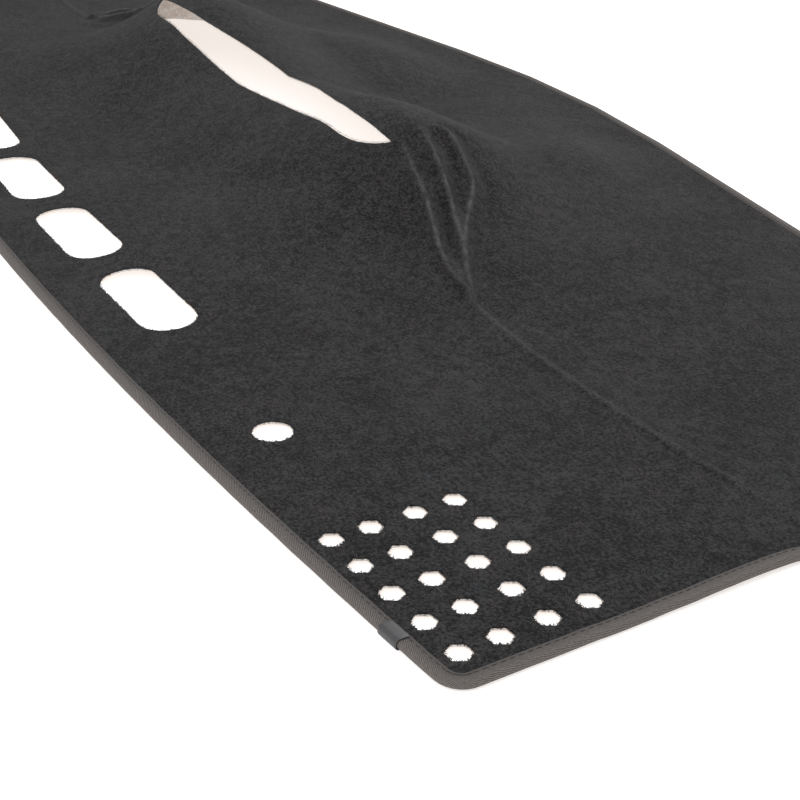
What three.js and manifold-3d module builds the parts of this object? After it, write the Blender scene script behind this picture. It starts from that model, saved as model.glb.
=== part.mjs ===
// Dashboard cover mat: one die-cut, moulded carpet sheet, a folded tape bound round its whole edge,
// and a smooth cover folded over the place where the two ends of the tape meet.
// Millimetres, +Z up. +X runs along the dashboard, +Y points at the windscreen.
// The origin is on the floor, under the middle of the mat.
import * as THREE from "three";
import { mergeVertices } from "three/addons/utils/BufferGeometryUtils.js";
import Module from "manifold-3d";

const wasm = await Module();
wasm.setup();

const rad = THREE.MathUtils.degToRad;

// Outline, over the binding. The left half is described and the right half mirrors it.
const frontHalfLength = 721; // half of the windscreen edge, corner to corner
const frontRadius = 4900; // the windscreen edge is one long arc
const sideDepth = 193; // front corner to neck
const sideLean = 5.5; // degrees, the sides draw in towards the neck
const wingOut = 27; // how far the lower flap stands out past the neck
const wingDrop = 34;
const flapDepth = 190; // wing to rear corner
const flapLean = 1.5; // degrees
const rearSlope = 8.7; // degrees, the rear edge falls towards its middle
const frontCornerRadius = 10;
const neckRadius = 22;
const wingRadius = 20;
const rearCornerRadius = 45;
const rearMiddleRadius = 1100;

// Sheet and binding
const sheetThickness = 2;
const tapeThickness = 0.6;
const clearance = 0.3; // between pieces that touch
const tapeLap = 7.8; // tape width on each face, from the outermost edge
const tapeBend = 1.2; // outside radius where the tape folds

// Cover over the joint of the tape
const coverThickness = 0.5;
const coverLength = 13;
const coverLap = 7; // stops just short of the tape's inner edge
const coverFromCorner = 46; // middle of the cover, in from the left front corner

// Demister slots
const slotCount = 6;
const slotPitch = 127;
const slotLength = 102;
const slotWidth = 37;
const slotCornerRadius = 17;
const slotInset = 56.5; // centre line, in from the windscreen edge

// Sensor hole
const sensorDiameter = 21;
const sensorX = -498.5;
const sensorInset = 46.7;

// Speaker grille: hexagonal punches in a grid at each end
const punchAcross = 12.6; // corner to corner
const punchColumns = 5;
const punchColumnPitch = 24;
const punchRowPitches = [20.7, 24.3, 22.5];
const punchInsetFront = 18.5; // first row, in from the windscreen edge
const punchInsetSide = 24.2; // first column, in from the side edge
const punchTilt = 7.1; // degrees, the grid leans with the windscreen edge

// Display opening under the hood, between its two tips
const openingHalfLength = 243;
const openingFrontInset = 255; // its straight front edge, in from the windscreen edge
const openingTipDrop = 14; // tips below the front edge
const openingSag = 53.5; // control height of the curved rear edge below the tips
const openingCorner = 30;

// Moulded form
const peakX = 247; // from the middle of the mat
const peakInset = 290; // in from the windscreen edge
const peakHeight = 62; // above the flat mat
const frontFoldSlope = 0.146; // sideways drift of the fold per millimetre, ahead of the peak
const rearFoldSlope = 0.388; // and behind it
const frontFoldLow = 4; // height left in the fold well ahead of the peak
const frontFoldLength = 55; // how fast the fold falls ahead of the peak
const outerReach = 260; // the fold dies out this far towards the near end
const innerReach = 300; // and this far towards the middle
const hoodHeight = 38; // the hood over the opening, at the middle
const hoodInset = 278;
const hoodHalfDepth = 130;
const hoodFlatHalf = 150; // the hood keeps its full height this far each way
const hoodHalfLength = 330;
const flatBand = 14; // the sheet stays flat this far in from the edge
const edgeRise = 80; // and takes this far more to reach its full height
const seamFootX = 407; // where the seam starts to climb to the peak
const seamFootInset = 241;
const seamSideInset = 271; // where the seam meets the side edge
const seamCrest = 9; // extra height of the nose along the climbing seam
const noseHalfWidth = 26;
const seamBead = 1.1; // raised crease along the seam
const seamBeadHalfWidth = 16;

// Facets
const frontSegments = 24;
const arcStep = rad(16);

const bindingThickness = sheetThickness + 2 * (clearance + tapeThickness);
const floorGap = clearance + coverThickness; // the cover passes under the tape
const midHeight = floorGap + bindingThickness / 2; // middle of the sheet where it lies flat

const felt = new THREE.MeshStandardMaterial({ color: 0x17181a, roughness: 0.98, metalness: 0 });
const tape = new THREE.MeshStandardMaterial({ color: 0x2b2a2b, roughness: 0.85, metalness: 0 });
const vinyl = new THREE.MeshStandardMaterial({ color: 0x222327, roughness: 0.4, metalness: 0 });

// Windscreen edge: how far it has fallen back at x.
function frontEdge(x) {
  return Math.sqrt(frontRadius ** 2 - x ** 2) - frontRadius;
}

// Points of a closed outline from its sharp corners {x, y, r}, each rounded to its radius by an arc.
function roundCorners(corners) {
  const points = [];
  corners.forEach((corner, i) => {
    const here = new THREE.Vector2(corner.x, corner.y);
    const before = corners.at(i - 1);
    const after = corners[(i + 1) % corners.length];
    const back = new THREE.Vector2(before.x, before.y).sub(here).normalize();
    const on = new THREE.Vector2(after.x, after.y).sub(here).normalize();
    if (!corner.r) {
      points.push(here);
      return;
    }
    const half = Math.acos(THREE.MathUtils.clamp(back.dot(on), -1, 1)) / 2;
    const centre = here.clone().addScaledVector(back.clone().add(on).normalize(), corner.r / Math.sin(half));
    const start = here.clone().addScaledVector(back, corner.r / Math.tan(half)).sub(centre);
    const turn = Math.PI - 2 * half;
    const sense = Math.sign(on.cross(back)) || 1;
    const steps = Math.max(2, Math.ceil(turn / arcStep));
    for (let k = 0; k <= steps; k += 1) {
      const spoke = start.clone().rotateAround(new THREE.Vector2(), (sense * turn * k) / steps);
      points.push(centre.clone().add(spoke));
    }
  });
  return points;
}

// Corners of the right end, before they are rounded.
const frontCorner = { x: frontHalfLength, y: frontEdge(frontHalfLength), r: frontCornerRadius };
const neck = {
  x: frontCorner.x - sideDepth * Math.sin(rad(sideLean)),
  y: frontCorner.y - sideDepth * Math.cos(rad(sideLean)),
  r: neckRadius,
};
const wing = { x: neck.x + wingOut, y: neck.y - wingDrop, r: wingRadius };
const rearCorner = {
  x: wing.x - flapDepth * Math.sin(rad(flapLean)),
  y: wing.y - flapDepth * Math.cos(rad(flapLean)),
  r: rearCornerRadius,
};

// Rear edge at a distance from the middle, before it is rounded there.
function rearEdge(out) {
  return rearCorner.y - (rearCorner.x - out) * Math.tan(rad(rearSlope));
}

// Outline of the bound mat, anticlockwise from the middle of the rear edge.
function matOutline() {
  const rightSide = [rearCorner, wing, neck, frontCorner];
  const front = [];
  for (let k = 1; k < frontSegments; k += 1) {
    const x = frontHalfLength * (1 - (2 * k) / frontSegments);
    front.push({ x, y: frontEdge(x), r: 0 });
  }
  const leftSide = rightSide.toReversed().map((c) => ({ ...c, x: -c.x }));
  return roundCorners([{ x: 0, y: rearEdge(0), r: rearMiddleRadius }, ...rightSide, ...front, ...leftSide]);
}

// The outline's inward direction at each point, long enough to move both its sides by one.
function inwardNormals(points) {
  return points.map((here, i) => {
    const before = points.at(i - 1);
    const after = points[(i + 1) % points.length];
    const arriving = here.clone().sub(before).normalize();
    const leaving = after.clone().sub(here).normalize();
    const normal = new THREE.Vector2(-arriving.y - leaving.y, arriving.x + leaving.x).normalize();
    return normal.divideScalar(normal.dot(new THREE.Vector2(-leaving.y, leaving.x)));
  });
}

const outline = matOutline();
const inward = inwardNormals(outline);

function insetOutline(distance) {
  return outline.map((point, i) => point.clone().addScaledVector(inward[i], distance));
}

// How far in from the edge a point is, or 0 outside the mat.
function distanceToEdge(x, y) {
  const point = new THREE.Vector3(x, y, 0);
  const near = new THREE.Vector3();
  let least = Infinity;
  let inside = false;
  outline.forEach((a, i) => {
    const b = outline[(i + 1) % outline.length];
    if (a.y > y !== b.y > y && x < a.x + ((y - a.y) * (b.x - a.x)) / (b.y - a.y)) inside = !inside;
    const side = new THREE.Line3(new THREE.Vector3(a.x, a.y, 0), new THREE.Vector3(b.x, b.y, 0));
    side.closestPointToPoint(point, true, near);
    least = Math.min(least, near.distanceTo(point));
  });
  return inside ? least : 0;
}

function smooth(value) {
  return THREE.MathUtils.smoothstep(value, 0, 1);
}

// Fold that crosses the mat through the peak: its distance from the middle, and its height.
function foldX(y) {
  const ahead = y + peakInset;
  return peakX + ahead * (ahead > 0 ? frontFoldSlope : rearFoldSlope);
}

function foldHeight(y, top) {
  const ahead = y + peakInset;
  if (ahead > 0) return (top - frontFoldLow) * Math.exp(-ahead / frontFoldLength) + frontFoldLow;
  return top * Math.max(0, 1 + ahead / peakInset) ** 1.3;
}

// Hood over the display opening: full height in the middle, fading past the tips.
function hood(x, y) {
  const across = (y + hoodInset) / hoodHalfDepth;
  if (Math.abs(across) >= 1) return 0;
  const along = smooth((hoodHalfLength - Math.abs(x)) / (hoodHalfLength - hoodFlatHalf));
  return hoodHeight * (1 - across ** 2) ** 2 * along;
}

// Seam on one half: level with the dashboard's front break, then climbing to the peak.
function seamY(x) {
  const out = Math.abs(x);
  if (out < seamFootX) {
    const climb = (seamFootX - out) / (seamFootX - peakX);
    return -seamFootInset - (peakInset - seamFootInset) * Math.min(1, climb) ** 1.4;
  }
  const along = (out - seamFootX) / (frontHalfLength - seamFootX);
  return -seamFootInset - (seamSideInset - seamFootInset) * along ** 2.4;
}

function seamRise(x, y) {
  const out = Math.abs(x);
  const off = Math.abs(y - seamY(x));
  const inside = smooth((out - peakX) / 20);
  const bead = seamBead * Math.max(0, 1 - off / seamBeadHalfWidth) ** 2;
  const climb = (out - peakX) / (seamFootX - peakX);
  const arch = climb > 0 && climb < 1 ? Math.sin(Math.PI * climb) : 0;
  const nose = seamCrest * arch * Math.max(0, 1 - off / noseHalfWidth);
  return inside * (bead + nose);
}

// Height of the moulded mat above its flat edge.
function rise(x, y) {
  const top = peakHeight - hood(peakX, -peakInset);
  const off = Math.abs(x) - foldX(y);
  const reach = off > 0 ? outerReach : innerReach;
  const fold = foldHeight(y, top) * Math.max(0, 1 - Math.abs(off) / reach) ** (off > 0 ? 2.3 : 1.8);
  const edge = smooth((distanceToEdge(x, y) - flatBand) / edgeRise);
  return edge * (fold + hood(x, y) + seamRise(x, y));
}

// A flat path punched through the sheet.
function pathOf(points) {
  return new THREE.Path(points);
}

function slotPath(x) {
  const tilt = Math.asin(x / frontRadius);
  const centre = new THREE.Vector2(x, frontEdge(x) - slotInset);
  const halfLength = slotLength / 2;
  const halfWidth = slotWidth / 2;
  const corners = [
    [-1, -1],
    [1, -1],
    [1, 1],
    [-1, 1],
  ].map(([sx, sy]) => ({ x: sx * halfLength, y: sy * halfWidth, r: slotCornerRadius }));
  return pathOf(roundCorners(corners).map((p) => p.rotateAround(new THREE.Vector2(), -tilt).add(centre)));
}

function roundPath(x, y, radius, sides, turn = 0) {
  const points = [];
  for (let k = 0; k < sides; k += 1) {
    const angle = turn + (2 * Math.PI * k) / sides;
    points.push(new THREE.Vector2(x + radius * Math.cos(angle), y + radius * Math.sin(angle)));
  }
  return pathOf(points);
}

// Hexagonal punches at one end of the mat: side is -1 for the left end and 1 for the right.
function grillePaths(side) {
  const tilt = rad(punchTilt);
  const corner = new THREE.Vector2(frontCorner.x, frontCorner.y);
  const along = new THREE.Vector2(-Math.cos(tilt), Math.sin(tilt));
  const back = new THREE.Vector2(-Math.sin(tilt), -Math.cos(tilt));
  const paths = [];
  let depth = punchInsetFront;
  [0, ...punchRowPitches].forEach((pitch) => {
    depth += pitch;
    for (let column = 0; column < punchColumns; column += 1) {
      const centre = corner.clone().addScaledVector(back, depth);
      centre.addScaledVector(along, punchInsetSide + column * punchColumnPitch);
      paths.push(roundPath(side * centre.x, centre.y, punchAcross / 2, 6, -side * tilt));
    }
  });
  return paths;
}

function openingPath() {
  const frontY = -openingFrontInset;
  const tipY = frontY - openingTipDrop;
  const path = new THREE.Path();
  path.moveTo(-openingHalfLength, tipY);
  path.quadraticCurveTo(0, tipY - openingSag, openingHalfLength, tipY);
  path.quadraticCurveTo(openingHalfLength, frontY, openingHalfLength - openingCorner, frontY);
  path.lineTo(-openingHalfLength + openingCorner, frontY);
  path.quadraticCurveTo(-openingHalfLength, frontY, -openingHalfLength, tipY);
  return pathOf(path.getPoints(10).slice(0, -1));
}

function solidFrom(geometry) {
  const bare = geometry.clone();
  bare.deleteAttribute("normal");
  bare.deleteAttribute("uv");
  const merged = mergeVertices(bare, 1e-4);
  return new wasm.Manifold(
    new wasm.Mesh({
      numProp: 3,
      vertProperties: merged.attributes.position.array,
      triVerts: new Uint32Array(merged.index.array),
    }),
  );
}

function geometryFrom(solid) {
  const mesh = solid.getMesh();
  const geometry = new THREE.BufferGeometry();
  geometry.setAttribute("position", new THREE.BufferAttribute(mesh.vertProperties, 3));
  geometry.setIndex(new THREE.BufferAttribute(mesh.triVerts, 1));
  geometry.computeVertexNormals();
  return geometry;
}

// Closed solid from rings of points: each ring is a closed section. The rings close on themselves
// when looped. Otherwise both ends are capped, and the section is convex.
function skinRings(rings, looped) {
  const size = rings[0].length;
  const positions = rings.flat().flatMap((p) => [p.x, p.y, p.z]);
  const faces = [];
  const last = looped ? rings.length : rings.length - 1;
  for (let i = 0; i < last; i += 1) {
    const next = (i + 1) % rings.length;
    for (let j = 0; j < size; j += 1) {
      const k = (j + 1) % size;
      const [a, b, c, d] = [i * size + j, i * size + k, next * size + k, next * size + j];
      faces.push(a, c, b, a, d, c);
    }
  }
  const far = last * size;
  for (let j = 1; !looped && j < size - 1; j += 1) {
    faces.push(0, j, j + 1, far, far + j + 1, far + j);
  }
  const geometry = new THREE.BufferGeometry();
  geometry.setAttribute("position", new THREE.Float32BufferAttribute(positions, 3));
  geometry.setIndex(faces);
  return geometry;
}

// The moulded sheet before it is cut: a grid of columns and rows, drawn in so that one column
// lies on each fold, one row on the seam and one along the flat band of each long edge.
function mouldedBlank() {
  const insideFold = [0, 0.15, 0.3, 0.45, 0.6, 0.72, 0.82, 0.9, 0.96, 1]; // parts of the fold's x
  const outsideFold = [0.03, 0.07, 0.11, 0.16, 0.21, 0.27, 0.34, 0.42, 0.51, 0.62, 0.74, 0.87, 1]; // to the side
  const aheadOfSeam = [1, 0.88, 0.76, 0.64, 0.53, 0.42, 0.32, 0.24, 0.17, 0.11, 0.05, 0]; // to the flat band
  const behindSeam = [0.04, 0.09, 0.15, 0.22, 0.3, 0.39, 0.5, 0.62, 0.74, 0.87, 1]; // to the rear flat band
  const margin = 60;
  const halfSpan = frontHalfLength + wingOut + margin;
  const flatSide = neck.x - flatBand;
  const across = [
    ...insideFold.map((part) => (fold) => fold * part),
    ...outsideFold.map((part) => (fold) => fold + (flatSide - fold) * part),
    () => halfSpan,
  ];
  const signed = [
    ...across.slice(1).toReversed().map((place) => ({ place, sign: -1 })),
    ...across.map((place) => ({ place, sign: 1 })),
  ];
  const rows = [
    (out) => frontEdge(out) + margin,
    ...aheadOfSeam.map((part) => (out) => seamY(out) + (frontEdge(out) - flatBand - seamY(out)) * part),
    ...behindSeam.map((part) => (out) => seamY(out) + (rearEdge(out) + flatBand - seamY(out)) * part),
    (out) => rearEdge(out) - margin,
  ];
  const foldAt = (y) => Math.max(60, foldX(y));
  const grid = rows.map((row) =>
    signed.map(({ place, sign }) => {
      const guess = Math.min(place(foldAt(row(0))), frontHalfLength);
      const y = row(guess);
      const x = place(foldAt(y));
      return new THREE.Vector3(sign * x, y, rise(x, y));
    }),
  );
  const width = signed.length;
  const count = width * rows.length;
  const positions = [];
  [sheetThickness / 2, -sheetThickness / 2].forEach((lift) => {
    grid.flat().forEach((p) => positions.push(p.x, p.y, midHeight + p.z + lift));
  });
  const faces = [];
  const quad = (a, b, c, d) => faces.push(a, b, c, a, c, d);
  for (let r = 0; r < rows.length - 1; r += 1) {
    for (let c = 0; c < width - 1; c += 1) {
      const a = r * width + c;
      const b = a + width;
      quad(a, b, b + 1, a + 1);
      quad(count + a, count + a + 1, count + b + 1, count + b);
    }
  }
  const lastRow = (rows.length - 1) * width;
  for (let c = 0; c < width - 1; c += 1) {
    quad(c, c + 1, count + c + 1, count + c);
    quad(lastRow + c + 1, lastRow + c, count + lastRow + c, count + lastRow + c + 1);
  }
  for (let r = 0; r < rows.length - 1; r += 1) {
    const left = r * width;
    const right = left + width - 1;
    quad(left + width, left, count + left, count + left + width);
    quad(right, right + width, count + right + width, count + right);
  }
  const geometry = new THREE.BufferGeometry();
  geometry.setAttribute("position", new THREE.Float32BufferAttribute(positions, 3));
  geometry.setIndex(faces);
  return geometry;
}

// Carpet sheet: the moulded blank trimmed to the outline and punched.
function carpetSheet() {
  const shape = new THREE.Shape(insetOutline(tapeThickness + clearance));
  for (let k = 0; k < slotCount; k += 1) {
    shape.holes.push(slotPath((k - (slotCount - 1) / 2) * slotPitch));
  }
  shape.holes.push(roundPath(sensorX, frontEdge(sensorX) - sensorInset, sensorDiameter / 2, 28));
  shape.holes.push(...grillePaths(-1), ...grillePaths(1));
  shape.holes.push(openingPath());
  const reach = peakHeight + 100;
  const cutter = new THREE.ExtrudeGeometry(shape, { depth: 2 * reach, bevelEnabled: false });
  cutter.translate(0, 0, -reach);
  const solid = solidFrom(mouldedBlank()).intersect(solidFrom(cutter));
  return new THREE.Mesh(geometryFrom(solid), felt);
}

// Section of a strip folded over an edge, as the block it makes and the slot inside it: each point is
// its distance in from the mat's edge, and its height over the middle of the sheet.
function foldedSection(outside, thickness, lap, start, bend) {
  const face = (half, wall, radius) => [
    ...[0, 30, 60, 90].map((deg) => [
      wall + radius * (1 - Math.cos(rad(deg))),
      half - radius + radius * Math.sin(rad(deg)),
    ]),
    [lap, half],
  ];
  const closed = (top) => [...top, ...top.toReversed().map(([d, z]) => [d, -z])];
  return {
    block: closed(face(outside / 2, start, bend)),
    slot: closed(face(outside / 2 - thickness, start + thickness, bend - thickness)),
  };
}

function sweptSection(stations, section, looped) {
  const rings = stations.map(({ point, normal }) =>
    section.map(([d, z]) => new THREE.Vector3(point.x + normal.x * d, point.y + normal.y * d, midHeight + z)),
  );
  return skinRings(rings, looped);
}

function edgeBinding() {
  const stations = outline.map((point, i) => ({ point, normal: inward[i] }));
  const { block, slot } = foldedSection(bindingThickness, tapeThickness, tapeLap, 0, tapeBend);
  const half = block.length / 2;
  const section = [...block.slice(0, half), ...slot.slice(0, half).toReversed(), ...slot.slice(half).toReversed()];
  return new THREE.Mesh(sweptSection(stations, [...section, ...block.slice(half)], true), tape);
}

// The cover lies along one straight facet of the windscreen edge.
function bindingJointCover() {
  const corner = outline.findIndex((p, i) => {
    const next = outline[(i + 1) % outline.length];
    return p.x > next.x && p.x > coverFromCorner - frontHalfLength && next.x <= coverFromCorner - frontHalfLength;
  });
  const here = outline[corner];
  const next = outline[(corner + 1) % outline.length];
  const along = next.clone().sub(here).normalize();
  const normal = new THREE.Vector2(-along.y, along.x);
  const middleX = coverFromCorner - frontHalfLength;
  const middle = here.clone().lerp(next, (here.x - middleX) / (here.x - next.x));
  const stations = (length) =>
    [-0.5, 0.5].map((part) => ({ point: middle.clone().addScaledVector(along, part * length), normal }));
  const outside = bindingThickness + 2 * (clearance + coverThickness);
  const { block, slot } = foldedSection(
    outside,
    coverThickness,
    coverLap,
    -clearance - coverThickness,
    tapeBend + clearance + coverThickness,
  );
  const open = slot.map(([d, z]) => [d === coverLap ? d + coverThickness : d, z]);
  const folded = solidFrom(sweptSection(stations(coverLength), block, false));
  const gap = solidFrom(sweptSection(stations(coverLength * 2), open, false));
  return new THREE.Mesh(geometryFrom(folded.subtract(gap)), vinyl);
}

const mat = new THREE.Group();
const pieces = {
  carpet_sheet: carpetSheet(),
  edge_binding: edgeBinding(),
  binding_joint_cover: bindingJointCover(),
};
Object.entries(pieces).forEach(([name, mesh]) => {
  mesh.name = name;
  mat.add(mesh);
});

const lowestY = Math.min(...outline.map((p) => p.y));
const highestY = Math.max(...outline.map((p) => p.y));
mat.position.y = -(lowestY + highestY) / 2;

export default mat;
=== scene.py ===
import math

import bmesh
import bpy
import numpy as np
from mathutils import Matrix
from mathutils.geometry import delaunay_2d_cdt


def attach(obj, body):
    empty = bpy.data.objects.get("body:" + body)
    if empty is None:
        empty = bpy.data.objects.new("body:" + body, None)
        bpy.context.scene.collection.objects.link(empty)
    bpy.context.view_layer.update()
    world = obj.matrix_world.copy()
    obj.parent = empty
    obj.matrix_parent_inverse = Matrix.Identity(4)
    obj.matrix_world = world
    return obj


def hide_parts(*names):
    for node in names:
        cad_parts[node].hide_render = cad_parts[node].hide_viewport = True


# A moulded felt cover mat for a dashboard, lying on a white floor.
# Sizes are in millimetres and are turned into metres where a mesh is made.

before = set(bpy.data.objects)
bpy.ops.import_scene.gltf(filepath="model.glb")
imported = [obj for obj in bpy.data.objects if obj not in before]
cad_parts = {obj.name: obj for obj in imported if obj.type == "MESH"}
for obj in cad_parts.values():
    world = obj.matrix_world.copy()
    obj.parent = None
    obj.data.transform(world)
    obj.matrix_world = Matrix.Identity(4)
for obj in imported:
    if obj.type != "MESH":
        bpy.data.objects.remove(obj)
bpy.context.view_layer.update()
mm = 0.001

# Cut and moulded form: the part's own values, some of them moved by a few millimetres
# to bring the edges and folds closer to the photograph
cut = dict(
    frontHalfLength=718.5, frontRadius=4820.0,
    sideDepth=192.0, sideLean=5.5, wingOut=27.0, wingDrop=34.0,
    flapDepth=190.0, flapLean=1.5, rearSlope=8.7,
    frontCornerRadius=13.0, neckRadius=22.0, wingRadius=20.0,
    rearCornerRadius=45.0, rearMiddleRadius=1100.0,
    shiftY=282.7230,  # from the windscreen edge's middle to the frame's origin
    midHeight=2.7, thickness=2.0,
)
form = dict(
    peakX=247.0, peakInset=289.0, peakHeight=62.0,
    frontFoldSlope=0.146, rearFoldSlope=0.388, frontFoldLow=4.0, frontFoldLength=55.0,
    outerReach=260.0, innerReach=300.0,
    hoodHeight=38.0, hoodInset=277.0, hoodHalfDepth=130.0, hoodFlatHalf=150.0, hoodHalfLength=330.0,
    flatBand=14.0, edgeRise=80.0,
    seamFootX=407.0, seamFootInset=240.0, seamSideInset=270.0, seamCrest=9.0, noseHalfWidth=26.0,
    foldRound=9.0,  # how softly the moulded fold turns over
    tipRound=13.0,  # and its tip
    outerPower=2.3, innerPower=1.8,  # how steeply its two flanks fall
    seamBead=(0.9, 2.0),  # height and width of the bead along the seam
    seamGroove=(0.35, 5.0, 3.0),  # depth, distance and width of the groove on each side of it
    seamSwell=(1.0, 16.0),  # height and half width of the low swell under it
    sway=[(0.35, 190, 5), (0.08, 45, 6)],  # height, length and seed of the sheet's slow waves
)
pleats = dict(
    # crest lines on one half, from the peak down to the seam's foot: x, y
    crests=[
        [(250, -270), (269, -267.5), (298, -263), (325, -255), (352, -246.5), (380, -242.5), (403, -240.5)],
        [(241, -287), (262, -283.5), (286, -281), (310, -276), (335, -267.5), (360, -258.5), (387, -247), (407, -240.5)],
        [(238, -297), (247, -306), (269, -306.5), (291, -302), (309, -291), (330, -276), (357, -260), (384, -248), (405, -240.5)],
    ],
    heights=[3.2, 4.2, 5.4],
    halfWidths=[6.5, 6.5, 9.0],
    sharpness=1.15,  # power of a ridge's sides
    trough=0.4,  # depth of the trough beside a ridge, as a share of its height
    low=(215, -345), high=(430, -215),  # corners of the box that holds them on the right half
)


def smoothStep(value):
    # 3t^2 - 2t^3, held at 0 and 1
    t = np.clip(value, 0, 1)
    return t * t * (3 - 2 * t)


def waves(x, y, length, seed):
    # sum of eight plane waves of about one length, in seeded directions and phases
    rng = np.random.default_rng(seed)
    angle, phase = rng.uniform(0, math.tau, 8), rng.uniform(0, math.tau, 8)
    stretch = rng.uniform(0.7, 1.5, 8) * math.tau / length
    total = sum(np.sin((x * math.cos(a) + y * math.sin(a)) * k + p) for a, k, p in zip(angle, stretch, phase))
    return total / math.sqrt(8)


def frontEdge(x):
    # the windscreen edge: a circle of the front radius through the origin
    return np.sqrt(cut["frontRadius"] ** 2 - np.asarray(x, float) ** 2) - cut["frontRadius"]


def roundedCorners(corners, stepDegrees=4.0):
    # each corner is replaced by the arc of its radius that touches both of its sides
    runs = []
    for i, (x, y, radius) in enumerate(corners):
        here = np.array([x, y])
        if radius == 0:
            runs.append(here[None])
            continue
        back = np.array(corners[i - 1][:2]) - here
        on = np.array(corners[(i + 1) % len(corners)][:2]) - here
        back, on = back / np.linalg.norm(back), on / np.linalg.norm(on)
        half = math.acos(np.clip(back @ on, -1, 1)) / 2
        bisector = (back + on) / np.linalg.norm(back + on)
        centre = here + bisector * radius / math.sin(half)
        start = here + back * radius / math.tan(half) - centre
        turn = (math.pi - 2 * half) * (1 if on[0] * back[1] - on[1] * back[0] > 0 else -1)
        a = np.linspace(0, turn, max(3, int(abs(math.degrees(turn)) / stepDegrees)))
        c, s = np.cos(a), np.sin(a)
        runs.append(centre + np.c_[start[0] * c - start[1] * s, start[0] * s + start[1] * c])
    return np.concatenate(runs)


def evenLoop(loop, step):
    # the closed loop again, with its points the same distance apart along it
    closed = np.r_[loop, loop[:1]]
    at = np.r_[0, np.cumsum(np.linalg.norm(np.diff(closed, axis=0), axis=1))]
    count = max(6, int(round(at[-1] / step)))
    even = np.arange(count) * at[-1] / count
    return np.c_[np.interp(even, at, closed[:, 0]), np.interp(even, at, closed[:, 1])]


def leftNormals(loop):
    # unit normals to the left of the way round, from the chord between both neighbours
    chord = np.roll(loop, -1, 0) - np.roll(loop, 1, 0)
    chord /= np.linalg.norm(chord, axis=1)[:, None]
    return np.c_[-chord[:, 1], chord[:, 0]]


def matOutline():
    # anticlockwise, over the binding, from the corners of one end and their mirror image
    c = cut
    front = (c["frontHalfLength"], float(frontEdge(c["frontHalfLength"])))
    neck = (front[0] - c["sideDepth"] * math.sin(math.radians(c["sideLean"])),
            front[1] - c["sideDepth"] * math.cos(math.radians(c["sideLean"])))
    wing = (neck[0] + c["wingOut"], neck[1] - c["wingDrop"])
    rear = (wing[0] - c["flapDepth"] * math.sin(math.radians(c["flapLean"])),
            wing[1] - c["flapDepth"] * math.cos(math.radians(c["flapLean"])))
    middle = (0.0, rear[1] - rear[0] * math.tan(math.radians(c["rearSlope"])))
    right = [(*rear, c["rearCornerRadius"]), (*wing, c["wingRadius"]),
             (*neck, c["neckRadius"]), (*front, c["frontCornerRadius"])]
    x = np.linspace(front[0], -front[0], 60)[1:-1]
    edge = [(a, b, 0) for a, b in zip(x, frontEdge(x))]
    left = [(-x, y, r) for x, y, r in reversed(right)]
    return roundedCorners([(*middle, c["rearMiddleRadius"]), *right, *edge, *left])


def insetLoop(loop, distance):
    return loop + leftNormals(loop) * distance


def insideLoop(points, loop):
    # odd number of crossings of the ray towards +x
    inside = np.zeros(len(points), bool)
    for a, b in zip(loop, np.roll(loop, -1, 0)):
        spans = (a[1] > points[:, 1]) != (b[1] > points[:, 1])
        if spans.any():
            inside ^= spans & (points[:, 0] < a[0] + (points[:, 1] - a[1]) * (b[0] - a[0]) / (b[1] - a[1]))
    return inside


def distanceToPath(points, path, closed=False):
    # least distance to the path's straight pieces, and how far along it the nearest point is
    a = path if closed else path[:-1]
    b = np.roll(path, -1, 0) if closed else path[1:]
    step = b - a
    size = np.maximum((step ** 2).sum(1), 1e-9)
    least, along = np.empty(len(points)), np.empty(len(points))
    for low in range(0, len(points), 3000):
        part = points[low:low + 3000]
        off = part[:, None] - a[None]
        t = np.clip((off * step).sum(2) / size, 0, 1)
        gap = ((off - t[..., None] * step) ** 2).sum(2)
        nearest = gap.argmin(1)
        row = np.arange(len(part))
        least[low:low + 3000] = np.sqrt(gap[row, nearest])
        along[low:low + 3000] = (nearest + t[row, nearest]) / len(a)
    return least, along


def splineThrough(knots, perSpan=8):
    # Catmull-Rom curve through the knots
    k = np.array(knots, float)
    k = np.r_[2 * k[:1] - k[1:2], k, 2 * k[-1:] - k[-2:-1]]
    t = np.linspace(0, 1, perSpan, endpoint=False)[:, None]
    runs = []
    for a, b, c, d in zip(k[:-3], k[1:-2], k[2:-1], k[3:]):
        runs.append(0.5 * (2 * b + (c - a) * t + (2 * a - 5 * b + 4 * c - d) * t ** 2
                           + (3 * b - a - 3 * c + d) * t ** 3))
    return np.r_[np.concatenate(runs), k[-2:-1]]


outline = evenLoop(matOutline(), 3.0)


def hood(x, y):
    # (1 - t^2)^2 across the opening, full height in the middle, fading past its tips
    across = (y + form["hoodInset"]) / form["hoodHalfDepth"]
    along = smoothStep((form["hoodHalfLength"] - abs(x)) / (form["hoodHalfLength"] - form["hoodFlatHalf"]))
    return np.where(abs(across) < 1, form["hoodHeight"] * (1 - np.clip(across, -1, 1) ** 2) ** 2 * along, 0)


def foldHeight(y, top):
    # falls exponentially ahead of the peak and slowly behind it, with a rounded tip
    ahead = y + form["peakInset"]
    tip = form["tipRound"]
    soft = np.sqrt(np.maximum(ahead, 0) ** 2 + tip ** 2) - tip
    front = (top - form["frontFoldLow"]) * np.exp(-soft / form["frontFoldLength"]) + form["frontFoldLow"]
    rear = top * np.maximum(0, 1 + np.minimum(ahead, 0) / form["peakInset"]) ** 1.3
    return np.where(ahead > 0, front, rear)


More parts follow.
